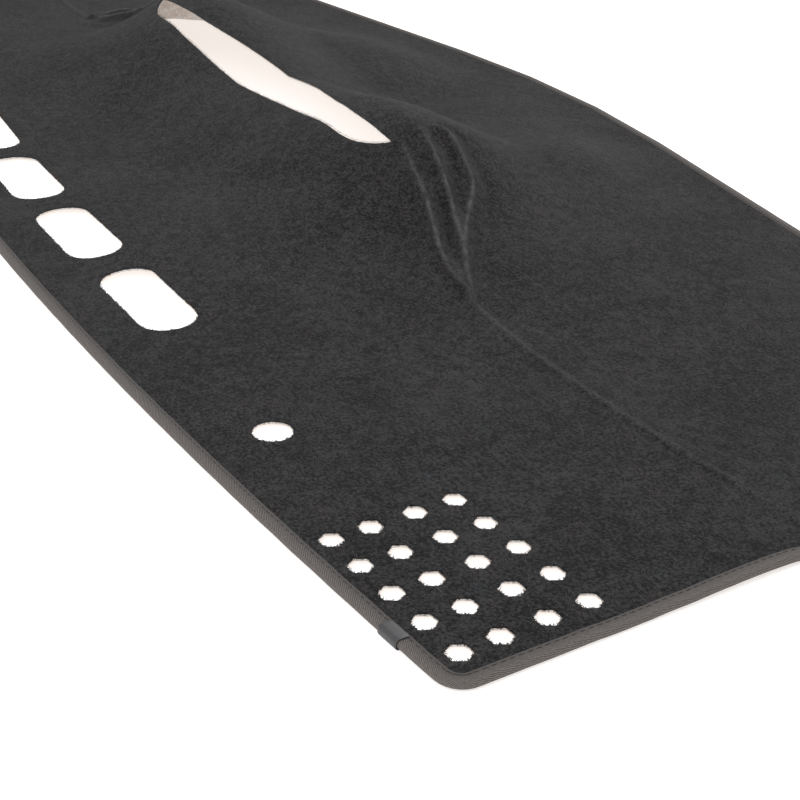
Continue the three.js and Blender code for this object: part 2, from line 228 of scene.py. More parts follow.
def seamY(x):
    # level with the dashboard's front break, then climbing to the peak
    out = abs(x)
    climb = np.clip((form["seamFootX"] - out) / (form["seamFootX"] - form["peakX"]), 0, 1)
    along = np.clip((out - form["seamFootX"]) / (cut["frontHalfLength"] - form["seamFootX"]), 0, 1)
    inner = -form["seamFootInset"] - (form["peakInset"] - form["seamFootInset"]) * climb ** 1.4
    outer = -form["seamFootInset"] - (form["seamSideInset"] - form["seamFootInset"]) * along ** 2.4
    return np.where(out < form["seamFootX"], inner, outer)


crestLines = [splineThrough(crest) for crest in pleats["crests"]]


def nearPleats(points):
    # the points moved to the right half, and which of them lie in the box round the pleats
    mirrored = np.c_[abs(points[:, 0]), points[:, 1]]
    return mirrored, ((mirrored > pleats["low"]) & (mirrored < pleats["high"])).all(1)


def pleatRise(points):
    # each crest is a ridge (1 - d/w)^1.15 that swells between its ends, with a shallow trough beside it
    mirrored, near = nearPleats(points)
    some = mirrored[near]
    rise = np.zeros(len(some))
    for crest, height, width in zip(crestLines, pleats["heights"], pleats["halfWidths"]):
        d, along = distanceToPath(some, crest)
        swell = np.sin(math.pi * np.clip(along, 0, 1) ** 0.8) ** 0.7
        ridge = np.maximum(0, 1 - d / width) ** pleats["sharpness"]
        trough = pleats["trough"] * np.exp(-((d - 1.25 * width) / (0.6 * width)) ** 2)
        rise += height * swell * (ridge - trough)
    total = np.zeros(len(points))
    total[near] = rise
    return total


def creaseHighlight(points):
    # up to 1 on the crests of the pleats and 0.4 along the seam, gone within about 2 mm:
    # a painted highlight, paler nap where the crests and the seam catch the light
    mirrored, near = nearPleats(points)
    seam = abs(points[:, 1] - seamY(points[:, 0]))
    paintedHighlight = 0.4 * np.exp(-(seam / 1.3) ** 2) * smoothStep((mirrored[:, 0] - form["peakX"] - 90) / 60)
    paintedHighlight *= smoothStep((690 - mirrored[:, 0]) / 120)
    for crest in crestLines:
        d, along = distanceToPath(mirrored[near], crest)
        fade = np.sin(math.pi * np.clip(along, 0, 1)) ** 0.4
        broken = 0.8 + 0.3 * waves(*mirrored[near].T, 16, 31)
        paintedHighlight[near] = np.maximum(paintedHighlight[near], np.exp(-d ** 2) * fade * broken)
    return paintedHighlight


def matHeight(points):
    # height of the sheet's middle above the floor
    x, y = points.T
    d, _ = distanceToPath(points, outline, closed=True)
    top = form["peakHeight"] - hood(form["peakX"], np.array(-form["peakInset"]))
    ahead = y + form["peakInset"]
    foldX = form["peakX"] + ahead * np.where(ahead > 0, form["frontFoldSlope"], form["rearFoldSlope"])
    off = abs(x) - foldX
    turn = form["foldRound"] + 0.1 * abs(ahead)
    away = np.sqrt(off ** 2 + turn ** 2) - turn
    reach = np.where(off > 0, form["outerReach"], form["innerReach"])
    power = np.where(off > 0, form["outerPower"], form["innerPower"])
    fold = foldHeight(y, top) * np.maximum(0, 1 - away / reach) ** power
    line = abs(y - seamY(x))
    inside = smoothStep((abs(x) - form["peakX"]) / 20)
    high, width = form["seamBead"]
    deep, beside, spread = form["seamGroove"]
    low, reachOut = form["seamSwell"]
    bead = high * np.exp(-(line / width) ** 2) - deep * np.exp(-((line - beside) / spread) ** 2)
    bead += low * np.maximum(0, 1 - line / reachOut) ** 2
    climb = np.clip((abs(x) - form["peakX"]) / (form["seamFootX"] - form["peakX"]), 0, 1)
    nose = form["seamCrest"] * np.sin(math.pi * climb) * np.maximum(0, 1 - line / form["noseHalfWidth"])
    edge = smoothStep((d - form["flatBand"]) / form["edgeRise"])
    lift = edgeLift(x, y) * np.exp(-d / 45)
    sway = sum(height * waves(x, y, length, seed) for height, length, seed in form["sway"])
    relief = fold + hood(x, y) + inside * (bead + nose) + pleatRise(points) + sway
    return cut["midHeight"] + edge * relief + lift


def edgeLift(x, y):
    # the side flaps never lie quite flat: their edges rise a little here and there, and never sink
    side = smoothStep((abs(x) - 600) / 60) * smoothStep((-y - 110) / 40)
    return side * (1.0 * np.maximum(0, waves(x, y, 120, 11)) + 0.5 * np.maximum(0, waves(x, y, 50, 12)))


def toFrame(points, height):
    return np.c_[points[:, 0], points[:, 1] + cut["shiftY"], height] * mm


# Meshes and materials
def buildMesh(name, points, faces, material, uv=None):
    # faces is a list of index arrays, each with three or four columns
    mesh = bpy.data.meshes.new(name)
    loops = np.concatenate([f.ravel() for f in faces]).astype(np.int32)
    totals = np.concatenate([np.full(len(f), f.shape[1]) for f in faces]).astype(np.int32)
    mesh.vertices.add(len(points))
    mesh.vertices.foreach_set("co", np.asarray(points, np.float32).ravel())
    mesh.loops.add(len(loops))
    mesh.loops.foreach_set("vertex_index", loops)
    mesh.polygons.add(len(totals))
    mesh.polygons.foreach_set("loop_start", np.r_[0, np.cumsum(totals)[:-1]].astype(np.int32))
    mesh.polygons.foreach_set("loop_total", totals)
    mesh.update(calc_edges=True)
    mesh.polygons.foreach_set("use_smooth", np.ones(len(totals), bool))
    if uv is not None:
        layer = mesh.uv_layers.new(name="UVMap")
        layer.data.foreach_set("uv", np.asarray(uv, np.float32)[loops].ravel())
    mesh.materials.append(material)
    mesh.validate()
    piece = bpy.data.objects.new(name, mesh)
    bpy.context.collection.objects.link(piece)
    return piece


def newGroup(name, inputs, outputs):
    # an empty shader group: inputs are name: (socket type, value), outputs are name: socket type
    tree = bpy.data.node_groups.new(name, "ShaderNodeTree")
    for label, (kind, value) in inputs.items():
        tree.interface.new_socket(label, in_out="INPUT", socket_type=kind).default_value = value
    for label, kind in outputs.items():
        tree.interface.new_socket(label, in_out="OUTPUT", socket_type=kind)
    return tree, tree.nodes.new("NodeGroupInput"), tree.nodes.new("NodeGroupOutput")


def addNode(tree, kind, **settings):
    node = tree.nodes.new(kind)
    for key, value in settings.items():
        setattr(node, key, value)
    return node


def setInputs(tree, pairs):
    # each socket is linked if its value is a socket, and set if it is a number or a colour
    for socket, value in pairs:
        if isinstance(value, bpy.types.NodeSocket):
            tree.links.new(value, socket)
        else:
            socket.default_value = value


def mathNode(tree, operation, a, b=0.0, clamp=False):
    node = addNode(tree, "ShaderNodeMath", operation=operation, use_clamp=clamp)
    setInputs(tree, zip(node.inputs, (a, b)))
    return node.outputs[0]


def mixColours(tree, factor, first, second, blend="MIX"):
    node = addNode(tree, "ShaderNodeMix", data_type="RGBA", blend_type=blend)
    setInputs(tree, ((node.inputs[0], factor), (node.inputs[6], first), (node.inputs[7], second)))
    return node.outputs[2]


def noiseNode(tree, vector, scale, detail=2.0, roughness=0.55):
    node = addNode(tree, "ShaderNodeTexNoise")
    node.inputs["Scale"].default_value = scale
    node.inputs["Detail"].default_value = detail
    node.inputs["Roughness"].default_value = roughness
    tree.links.new(vector, node.inputs["Vector"])
    return node.outputs["Fac"]


def fibreGroup():
    # needled fibre: pale fibre ends over dark depths, in tufts, with a slow drift of tone
    tree, source, sink = newGroup(
        "needledFibre",
        {"Vector": ("NodeSocketVector", (0, 0, 0)), "Depth": ("NodeSocketColor", (0.02, 0.02, 0.02, 1)),
         "Fibre": ("NodeSocketColor", (0.06, 0.06, 0.06, 1)), "Tufts": ("NodeSocketFloat", 0.5)},
        {"Color": "NodeSocketColor", "Height": "NodeSocketFloat"},
    )
    vector = source.outputs["Vector"]
    fine = noiseNode(tree, vector, 1500, 3)
    tuft = noiseNode(tree, vector, 520, 2)
    patch = noiseNode(tree, vector, 150, 3)
    drift = noiseNode(tree, vector, 14, 2)
    height = mathNode(tree, "ADD", mathNode(tree, "MULTIPLY", fine, 0.55), mathNode(tree, "MULTIPLY", tuft, 0.45))
    spread = mathNode(tree, "MULTIPLY", mathNode(tree, "SUBTRACT", height, 0.5), 6.2)
    slow = mathNode(tree, "ADD", mathNode(tree, "MULTIPLY", drift, 0.8), mathNode(tree, "MULTIPLY", patch, 1.5))
    tone = mathNode(tree, "SUBTRACT", slow, 1.15)
    share = mathNode(tree, "ADD", mathNode(tree, "ADD", spread, tone), source.outputs["Tufts"], clamp=True)
    # warm and cool fibres gather in faint patches
    tint = mixColours(tree, noiseNode(tree, vector, 90, 3), (1.16, 0.97, 0.9, 1), (0.86, 1.02, 1.08, 1))
    plain = mixColours(tree, share, source.outputs["Depth"], source.outputs["Fibre"])
    tree.links.new(mixColours(tree, 1.0, plain, tint, "MULTIPLY"), sink.inputs["Color"])
    tree.links.new(height, sink.inputs["Height"])
    return tree


def twillGroup():
    # twill: slanting ribs across the UV, broken by the crossing threads
    tree, source, sink = newGroup(
        "tapeTwill",
        {"Vector": ("NodeSocketVector", (0, 0, 0)), "Rib": ("NodeSocketColor", (0.1, 0.1, 0.1, 1)),
         "Groove": ("NodeSocketColor", (0.03, 0.03, 0.03, 1)), "Pitch": ("NodeSocketFloat", 0.0008)},
        {"Color": "NodeSocketColor", "Height": "NodeSocketFloat"},
    )
    split = addNode(tree, "ShaderNodeSeparateXYZ")
    tree.links.new(source.outputs["Vector"], split.inputs[0])
    along, across = split.outputs["X"], split.outputs["Y"]
    wander = mathNode(tree, "MULTIPLY", noiseNode(tree, source.outputs["Vector"], 300, 2), 0.0009)
    slant = mathNode(tree, "ADD", mathNode(tree, "ADD", mathNode(tree, "MULTIPLY", along, 0.5), across), wander)
    turn = mathNode(tree, "MULTIPLY", mathNode(tree, "DIVIDE", slant, source.outputs["Pitch"]), math.tau)
    rib = mathNode(tree, "ADD", mathNode(tree, "MULTIPLY", mathNode(tree, "SINE", turn), 0.5), 0.5)
    cross = mathNode(tree, "MULTIPLY", mathNode(tree, "DIVIDE", along, source.outputs["Pitch"]), math.tau * 1.3)
    thread = mathNode(tree, "ADD", mathNode(tree, "MULTIPLY", mathNode(tree, "SINE", cross), 0.16), 0.84)
    height = mathNode(tree, "MULTIPLY", rib, thread)
    paleness = noiseNode(tree, source.outputs["Vector"], 900, 2)
    # painted shade: darker towards the tape's inner edge, from 11 to 17 mm across it, where its top slopes down
    # to the sheet
    inner = mathNode(tree, "MULTIPLY", mathNode(tree, "SUBTRACT", across, 0.011), 1 / 0.006, clamp=True)
    shade = mathNode(tree, "SUBTRACT", mathNode(tree, "MULTIPLY", mathNode(tree, "SUBTRACT", paleness, 0.5), 0.9),
                     mathNode(tree, "MULTIPLY", inner, 0.42))
    share = mathNode(tree, "ADD", height, shade, clamp=True)
    tree.links.new(mixColours(tree, share, source.outputs["Groove"], source.outputs["Rib"]), sink.inputs["Color"])
    tree.links.new(height, sink.inputs["Height"])
    return tree


needledFibre = fibreGroup()
tapeTwill = twillGroup()


def findNode(tree, kind):
    return next(node for node in tree.nodes if node.type == kind)


def newMaterial(name):
    material = bpy.data.materials.new(name)
    material.use_nodes = True
    return material, material.node_tree, findNode(material.node_tree, "BSDF_PRINCIPLED")


def addBump(tree, principled, height, strength, distance):
    relief = addNode(tree, "ShaderNodeBump")
    relief.inputs["Strength"].default_value = strength
    relief.inputs["Distance"].default_value = distance
    tree.links.new(height, relief.inputs["Height"])
    tree.links.new(relief.outputs["Normal"], principled.inputs["Normal"])


def patternedMaterial(name, group, settings, coordinates, bump, bumpDistance, **shader):
    # a Principled shader whose colour and bump come from one group
    material, tree, principled = newMaterial(name)
    pattern = addNode(tree, "ShaderNodeGroup", node_tree=group)
    place = addNode(tree, "ShaderNodeTexCoord")
    tree.links.new(place.outputs[coordinates], pattern.inputs["Vector"])
    for label, value in settings.items():
        pattern.inputs[label].default_value = value
    tree.links.new(pattern.outputs["Color"], principled.inputs["Base Color"])
    addBump(tree, principled, pattern.outputs["Height"], bump, bumpDistance)
    for label, value in shader.items():
        principled.inputs[label.replace("_", " ")].default_value = value
    return material


feltLook = dict(Depth=(0.0055, 0.0055, 0.0058, 1), Fibre=(0.033, 0.0325, 0.0335, 1), Tufts=0.42)
feltMaterial = patternedMaterial(
    "needledFelt", needledFibre, feltLook, "Object", 0.6, 0.0012,
    Roughness=0.95, Sheen_Weight=0.035, Sheen_Roughness=0.5, Specular_IOR_Level=0.08,
)


def addPaintedHighlight(material):
    # painted highlight: paler fibre where the mesh's highlight attribute rises, most on the high fibres
    tree = material.node_tree
    pattern = findNode(tree, "GROUP")
    paleness = addNode(tree, "ShaderNodeAttribute", attribute_name="paintedHighlight")
    high = mathNode(tree, "ADD", pattern.outputs["Height"], 0.1)
    share = mathNode(tree, "MULTIPLY", paleness.outputs["Fac"], high, clamp=True)
    # the pale colour of the painted highlight
    colour = mixColours(tree, share, pattern.outputs["Color"], (0.085, 0.085, 0.085, 1))
    tree.links.new(colour, findNode(tree, "BSDF_PRINCIPLED").inputs["Base Color"])


addPaintedHighlight(feltMaterial)
backingLook = dict(Depth=(0.42, 0.39, 0.36, 1), Fibre=(0.62, 0.59, 0.56, 1), Tufts=0.5)
backingMaterial = patternedMaterial(
    "feltBacking", needledFibre, backingLook, "Object", 0.3, 0.0008,
    Roughness=0.9, Specular_IOR_Level=0.25,
)
print("materials of the sheet made")

# Felt sheet
feltCut = dict(
    # the slots on one side, from the middle of the mat outwards: length, width, middle
    slots=[(102.0, 37.5, 63.5), (99.0, 36.5, 191.0), (95.0, 35.0, 316.8)],
    slotCorner=17.0, slotInset=55.5,
    sensorX=-498.5, sensorInset=45.7, sensorDiameter=21.0,
    punchAcross=12.4, punchColumns=5, columnPitch=24.0, rowPitches=[20.7, 24.3, 22.5],
    punchInsetFront=17.1, punchInsetSide=19.3, punchTilt=7.1,
    openingHalf=239.5, openingInset=249.0, openingTipDrop=17.5, openingSag=26.0,
    openingCorner=50.0, tipReach=19.5,
    wander=0.16,  # how far the punched edges stray from a clean line
    underTape=0.9,  # how far inside the tape's fold the sheet ends
    lip=0.8,  # the punched edge is rounded over this far
    grid=6.2, fineGrid=2.6,
    fineLow=(210, -340), fineHigh=(440, -215),  # corners of the fine lattice on the right half
    crestRows=[-2.2, -1.1, 0, 1.1, 2.2], seamRows=[-6.5, -4, -2, 0, 2, 4, 6.5],
)


def turned(points, angle):
    # by one angle, or each point by its own
    c, s = np.cos(angle), np.sin(angle)
    return np.c_[points[:, 0] * c - points[:, 1] * s, points[:, 0] * s + points[:, 1] * c]


def slotLoops():
    loops = []
    for length, width, middle in feltCut["slots"]:
        half, wide, r = length / 2, width / 2, min(feltCut["slotCorner"], width / 2 - 0.5)
        shape = roundedCorners([(-half, -wide, r), (half, -wide, r), (half, wide, r), (-half, wide, r)])
        for x in (-middle, middle):
            place = (x, float(frontEdge(x)) - feltCut["slotInset"])
            loops.append(turned(shape, -math.asin(x / cut["frontRadius"])) + place)
    return loops


def hexLoops(side):
    # one hexagon at each crossing of the rows along the windscreen edge and the columns across them
    c = feltCut
    tilt = math.radians(c["punchTilt"])
    corner = np.array([cut["frontHalfLength"], float(frontEdge(cut["frontHalfLength"]))])
    along = np.array([-math.cos(tilt), math.sin(tilt)])
    back = np.array([-math.sin(tilt), -math.cos(tilt)])
    angle = np.arange(6) * math.pi / 3
    hexagon = turned(np.c_[np.cos(angle), np.sin(angle)] * c["punchAcross"] / 2, -side * tilt)
    loops = []
    for depth in c["punchInsetFront"] + np.cumsum([0, *c["rowPitches"]]):
        for column in range(c["punchColumns"]):
            centre = corner + back * depth + along * (c["punchInsetSide"] + column * c["columnPitch"])
            loops.append(hexagon + (side * centre[0], centre[1]))
    return loops


def openingLoop():
    # a straight front whose ends curve back to two tips, and a rear that falls away from them
    # towards the middle
    c = feltCut
    half, front, tip = c["openingHalf"], -c["openingInset"], -c["openingInset"] - c["openingTipDrop"]
    t = np.linspace(0, 1, 60, endpoint=False)[:, None]

    def bend(a, b, d):
        return (1 - t) ** 2 * np.array(a) + 2 * t * (1 - t) * np.array(b) + t ** 2 * np.array(d)

    inner = half - c["openingCorner"]
    rearX = np.linspace(-half, half, 80, endpoint=False)
    rearY = tip - c["openingSag"] * smoothStep(((half - abs(rearX)) / half - 0.2) / 0.8)
    return np.concatenate([
        np.c_[rearX, rearY],
        bend((half, tip), (half - c["tipReach"], front), (inner, front)),
        bend((inner, front), (0, front), (-inner, front)),
        bend((-inner, front), (c["tipReach"] - half, front), (-half, tip)),
    ])


def holeLoops():
    c = feltCut
    angle = np.linspace(0, math.tau, 60, endpoint=False)
    sensor = np.c_[np.cos(angle), np.sin(angle)] * c["sensorDiameter"] / 2
    sensor += (c["sensorX"], float(frontEdge(c["sensorX"])) - c["sensorInset"])
    rng = np.random.default_rng(3)
    loops = [evenLoop(loop, 2.0) for loop in (*slotLoops(), openingLoop())]
    loops += [evenLoop(loop, 1.2) for loop in (sensor, *hexLoops(-1), *hexLoops(1))]
    stray = c["wander"]
    return [loop + leftNormals(loop) * rng.uniform(-stray, stray, (len(loop), 1)) for loop in loops]


def latticePoints(step, low, high, rng):
    # triangular lattice with a little scatter
    x = np.arange(low[0], high[0], step)
    y = np.arange(low[1], high[1], step * 0.87)
    gx, gy = np.meshgrid(x, y)
    gx[1::2] += step / 2
    return np.c_[gx.ravel(), gy.ravel()] + rng.uniform(-0.08, 0.08, (gx.size, 2)) * step


def evenPath(path, step):
    # the open path again, with its points the same distance apart
    at = np.r_[0, np.cumsum(np.linalg.norm(np.diff(path, axis=0), axis=1))]
    even = np.linspace(0, at[-1], int(at[-1] / step) + 1)
    return np.c_[np.interp(even, at, path[:, 0]), np.interp(even, at, path[:, 1])]


def thinned(points, gap):
    # drops every point that lies closer than the gap to one that was kept before it
    kept = np.empty((0, 2))
    for point in points:
        if not len(kept) or (((kept - point) ** 2).sum(1) > gap ** 2).all():
            kept = np.r_[kept, point[None]]
    return kept


def feltPoints(border, wide):
    # coarse lattice all over, fine round the pleats and along the seams, clear of every loop
    c = feltCut
    rng = np.random.default_rng(4)
    low, high = c["fineLow"], c["fineHigh"]
    points = latticePoints(c["grid"], (-735, -575), (735, 5), rng)
    fine = latticePoints(c["fineGrid"], (-high[0], low[1]), high, rng)
    fine = fine[abs(fine[:, 0]) > low[0]]
    inZone = (abs(points[:, 0]) > low[0]) & (abs(points[:, 0]) < high[0])
    inZone &= (points[:, 1] > low[1]) & (points[:, 1] < high[1])
    points = points[~inZone]
    x = np.arange(440, 700, 3.0)
    strip = np.concatenate([np.c_[s * x, seamY(x) + off] for s in (-1, 1) for off in c["seamRows"]])
    onStrip = (abs(points[:, 0]) > 440) & (abs(points[:, 0]) < 700)
    onStrip &= abs(points[:, 1] - seamY(points[:, 0])) < 9
    # rows along each crest, with the fine lattice kept clear of them
    crests = []
    for crest in crestLines:
        step = evenPath(crest, 2.2)
        side = np.gradient(step, axis=0)
        side = np.c_[-side[:, 1], side[:, 0]] / np.linalg.norm(side, axis=1)[:, None]
        rows = np.concatenate([step + side * off for off in c["crestRows"]])
        crests += [rows, rows * (-1, 1)]
    crests = thinned(np.concatenate(crests), 0.75)
    mirrored = np.c_[abs(fine[:, 0]), fine[:, 1]]
    clear = np.min([distanceToPath(mirrored, crest)[0] for crest in crestLines], axis=0) > 3.4
    points = np.r_[points[~onStrip], fine[clear], strip, crests]
    points = points[insideLoop(points, insetLoop(border, 2.5))]
    keep = np.ones(len(points), bool)
    for loop in wide:
        low, high = loop.min(0) - 4, loop.max(0) + 4
        near = np.flatnonzero(((points > low) & (points < high)).all(1) & keep)
        if len(near):
            d, _ = distanceToPath(points[near], loop, closed=True)
            keep[near[(d < 1.6) | insideLoop(points[near], loop)]] = False
    return points[keep]


def upNormals(points, triangles):
    # mean of the normals of the triangles round each point, weighted by area
    a, b, c = (points[triangles[:, i]] for i in range(3))
    normal = np.cross(b - a, c - a)
    total = np.zeros_like(points)
    for i in range(3):
        np.add.at(total, triangles[:, i], normal)
    return total / np.linalg.norm(total, axis=1)[:, None]


def cutTriangles(loops, inner):
    # Delaunay triangles of the border, the holes and the points between them,
    # without those outside the border or inside a hole
    flat = np.concatenate([*loops, inner])
    starts = np.cumsum([0, *map(len, loops)])
    edges = [np.c_[s + np.arange(n), s + (np.arange(n) + 1) % n] for s, n in zip(starts, map(len, loops))]
    made = delaunay_2d_cdt(flat.tolist(), np.concatenate(edges).tolist(), [], 0, 1e-5, False)
    triangles = np.array(made[2])
    # a triangle with all its corners on one loop is inside that loop if they follow the loop's order
    owner = [np.full(len(loop), i) for i, loop in enumerate(loops)] + [np.full(len(inner), -1)]
    owner = np.concatenate(owner)[triangles]
    oneLoop = (owner >= 0).all(1) & (owner[:, 0] == owner[:, 1]) & (owner[:, 1] == owner[:, 2])
    inLoop = (triangles < np.roll(triangles, -1, 1)).sum(1) == 2
    left = triangles[~(oneLoop & np.where(owner[:, 0] == 0, ~inLoop, inLoop))]
    return flat, starts, left


def flatArea(flat, triangles):
    # half the cross product of two sides, summed, in square metres
    first = flat[triangles[:, 1]] - flat[triangles[:, 0]]
    second = flat[triangles[:, 2]] - flat[triangles[:, 0]]
    return float(abs(first[:, 0] * second[:, 1] - first[:, 1] * second[:, 0]).sum() / 2) * mm ** 2


def makeFelt():
    lip, half = feltCut["lip"], cut["thickness"] / 2
    border = insetLoop(outline, feltCut["underTape"])
    holes = holeLoops()
    wide = [insetLoop(loop, -lip) for loop in holes]  # the flat top stops short of each hole
    loops = [border, *wide]
    flat, starts, triangles = cutTriangles(loops, feltPoints(border, wide))
    middle = toFrame(flat, matHeight(flat))
    normal = upNormals(middle, triangles)
    count = len(flat)
    points = [middle + normal * half * mm, middle - normal * half * mm]
    faces = [triangles, triangles[:, ::-1] + count]
    total = 2 * count
    # rim round each loop, in rings from the top to the bottom: share of the lip, share of half the thickness
    rings = [(0.5, 0.86), (0.95, 0.45), (1.0, 0.0), (0.95, -0.45), (0.5, -0.86)]
    walls = []
    for loop, start, out in zip(loops, starts, [0.0] + [lip] * len(wide)):
        n = len(loop)
        index = start + np.arange(n)
        side = leftNormals(loop) * (-1 if out == 0 else 1)
        towards = np.c_[side, np.zeros(n)]
        last = index
        for share, level in rings:
            points.append(middle[index] + towards * out * share * mm + normal[index] * half * level * mm)
            here = total + np.arange(n)
            faces.append(stripFaces(last, here, out > 0))
            last, total = here, total + n
        faces.append(stripFaces(last, index + count, out > 0))
        walls.append(np.repeat([0, 0, 1, 1, 1, 1], n))
    felt = buildMesh("moulded_felt", np.concatenate(points), faces, feltMaterial)
    felt.data.materials.append(backingMaterial)
    # the underside and the lower part of the cut walls show the pale backing
    which = np.zeros(len(felt.data.polygons), np.int32)
    which[len(triangles):2 * len(triangles)] = 1
    which[2 * len(triangles):] = np.concatenate(walls)
    felt.data.polygons.foreach_set("material_index", which)
    # the painted highlight on the crests and the seam, on the top's points only
    paintedHighlight = felt.data.attributes.new("paintedHighlight", "FLOAT", "POINT")
    values = np.zeros(len(felt.data.vertices), np.float32)
    values[:count] = creaseHighlight(flat)
    paintedHighlight.data.foreach_set("value", values)
    area = flatArea(flat, triangles)
    print("felt", len(felt.data.polygons), "faces", round(area, 3), "square metres")
    return felt, area, holes


def stripFaces(a, b, flip):
    # quads between two rings that run the same way
    quads = np.c_[a, np.roll(a, -1), np.roll(b, -1), b]
    return quads if flip else quads[:, ::-1]


felt, feltArea, holes = makeFelt()
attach(felt, "root")
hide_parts("carpet_sheet")

# Loose fibres along the punched edges
fuzz = dict(
    perMillimetre=3.4, shortest=0.3, longest=1.4, width=0.4,
    rootHeight=(0.3, 1.0),  # lowest and highest over the sheet's middle
    lean=0.7,  # spread of their directions, in radians
    rise=(0.15, 0.45),  # mean and spread, as shares of their length
)


def makeFuzz():
    # each fibre is one thin triangle from a punched edge into its hole, leaning at random
    rng = np.random.default_rng(8)
    roots, ways = [], []
    for loop in holes:
        length = np.linalg.norm(np.roll(loop, -1, 0) - loop, axis=1).sum()
        count = int(length * fuzz["perMillimetre"])
        at = rng.uniform(0, len(loop), count)
        i, t = at.astype(int) % len(loop), (at % 1)[:, None]
        roots.append(loop[i] * (1 - t) + np.roll(loop, -1, 0)[i] * t)
        ways.append(leftNormals(loop)[i])
    roots, ways = np.concatenate(roots), np.concatenate(ways)
    n = len(roots)
    ways = turned(ways, rng.normal(0, fuzz["lean"], n))
    height = matHeight(roots) + rng.uniform(*fuzz["rootHeight"], n)
    size = rng.uniform(fuzz["shortest"], fuzz["longest"], n)
    rise = rng.normal(*fuzz["rise"], n) * size
    root = np.c_[roots - ways * 0.3, height]
    tip = np.c_[roots + ways * size[:, None], height + rise]
    side = np.c_[-ways[:, 1], ways[:, 0], np.zeros(n)] * fuzz["width"] / 2
    points = np.stack([root - side, root + side, tip], 1).reshape(-1, 3)
    faces = np.arange(3 * n).reshape(-1, 3)
    return buildMesh("punched_edge_fibres", toFrame(points[:, :2], points[:, 2]), [faces], feltMaterial)


fibres = makeFuzz()
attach(fibres, "root")
print("fibres", len(fibres.data.polygons))

# Edge binding
binding = dict(
    thickness=3.8,  # folded over the sheet
    wall=0.62, bend=1.4, lap=7.4, step=3.0,
    dip=0.85,  # how far the inner ends sink towards the sheet
    wander=0.05, wanderLength=26,  # how far the fold strays from a clean line
    pitch=0.85,  # twill rib to rib
)
tapeLook = dict(Rib=(0.168, 0.150, 0.141, 1), Groove=(0.044, 0.040, 0.038, 1), Pitch=binding["pitch"] * mm)
tapeMaterial = patternedMaterial(
    "twillTape", tapeTwill, tapeLook, "UV", 0.5, 0.0003,
    Roughness=0.85, Sheen_Weight=0.04, Sheen_Roughness=0.4, Specular_IOR_Level=0.18,
)


def foldedProfile(half, wall, lap, start, bend, dip):
    # the outer face from the inner end of the underside, round the edge, to the inner end of the top,
    # and the inner face back again, as distance in from the edge and height over the sheet's middle.
    # Each fold is a quarter circle of the bend's radius, and the ends dip with the cube of the way along.
    def face(h, first, radius, drop):
        a = np.radians(np.linspace(0, 90, 6))
        arc = np.c_[first + radius * (1 - np.cos(a)), h - radius + radius * np.sin(a)]
        run = np.linspace(arc[-1, 0], lap, 6)[1:]
        t = (run - arc[-1, 0]) / (lap - arc[-1, 0])
        return np.r_[arc, np.c_[run, h - drop * t ** 3]]

    outer = face(half, start, bend, dip)
    inner = face(half - wall, start + wall, max(bend - wall, 0.2), dip)
    below = outer[::-1] * (1, -1)
    return np.r_[below, outer], np.r_[inner[::-1], inner * (1, -1)]


def sweep(name, path, normals, heights, outer, inner, material, closed):
    # the profile carried along the path: its outer and inner faces are one closed ring at each station
    section = np.r_[outer, inner]
    ring = np.r_[section, section[:1]]  # the first point again, for the UV
    across = np.r_[0, np.cumsum(np.linalg.norm(np.diff(ring, axis=0), axis=1))]
    stations = len(path)
    way = np.r_[0, np.cumsum(np.linalg.norm(np.diff(np.r_[path, path[:1]], axis=0), axis=1))]
    repeat = stations + 1 if closed else stations
    order = np.arange(repeat) % stations
    flat = path[order][:, None] + normals[order][:, None] * ring[None, :, :1]
    height = heights[order][:, None] + ring[None, :, 1]
    points = toFrame(flat.reshape(-1, 2), height.ravel())
    uv = np.stack(np.broadcast_arrays(way[:repeat, None], across[None]), 2).reshape(-1, 2) * mm
    width = len(ring)
    a = (np.arange(repeat - 1)[:, None] * width + np.arange(width - 1)).ravel()
    faces = [np.c_[a, a + width, a + width + 1, a + 1]]
    if not closed:
        # both ends are closed with quads between the outer and the inner face
        o = np.arange(len(outer) - 1)
        i = 2 * len(outer) - 1 - o
        near = np.c_[o, o + 1, i - 1, i]
        faces += [near, near[:, ::-1] + width * (stations - 1)]
    return buildMesh(name, points, faces, material, uv)


def weld(piece, distance):
    # joins the doubled points at the ends of the UV, and turns the faces outwards
    mesh = bmesh.new()
    mesh.from_mesh(piece.data)
    bmesh.ops.remove_doubles(mesh, verts=mesh.verts, dist=distance)
    bmesh.ops.recalc_face_normals(mesh, faces=mesh.faces)
    mesh.to_mesh(piece.data)
    mesh.free()


def makeBinding():
    b = binding
    path = evenLoop(outline, b["step"])
    inward = leftNormals(path)
    x, y = path.T
    outer, inner = foldedProfile(b["thickness"] / 2, b["wall"], b["lap"], 0.0, b["bend"], b["dip"])
    path = path + inward * (b["wander"] * waves(x, y, b["wanderLength"], 21))[:, None]
    heights = cut["midHeight"] + edgeLift(x, y)
    piece = sweep("twill_binding", path, inward, heights, outer, inner, tapeMaterial, True)
    weld(piece, 1e-6)
    return piece


tapeEdge = makeBinding()
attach(tapeEdge, "root")
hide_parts("edge_binding")
print("binding", len(tapeEdge.data.polygons))

# Stitches
stitching = dict(
    pitch=4.4, length=3.4, inset=5.4, radius=0.2,
    level=1.72,  # of the thread's ends, from the sheet's middle
    rise=0.30, sunk=0.12,
)
threadLook = dict(Rib=(0.07, 0.064, 0.062, 1), Groove=(0.03, 0.028, 0.027, 1), Pitch=0.0005)
threadMaterial = patternedMaterial(
    "sewingThread", tapeTwill, threadLook, "Object", 0.3, 0.0002,
    Roughness=0.7, Sheen_Weight=0.15, Specular_IOR_Level=0.35,
)


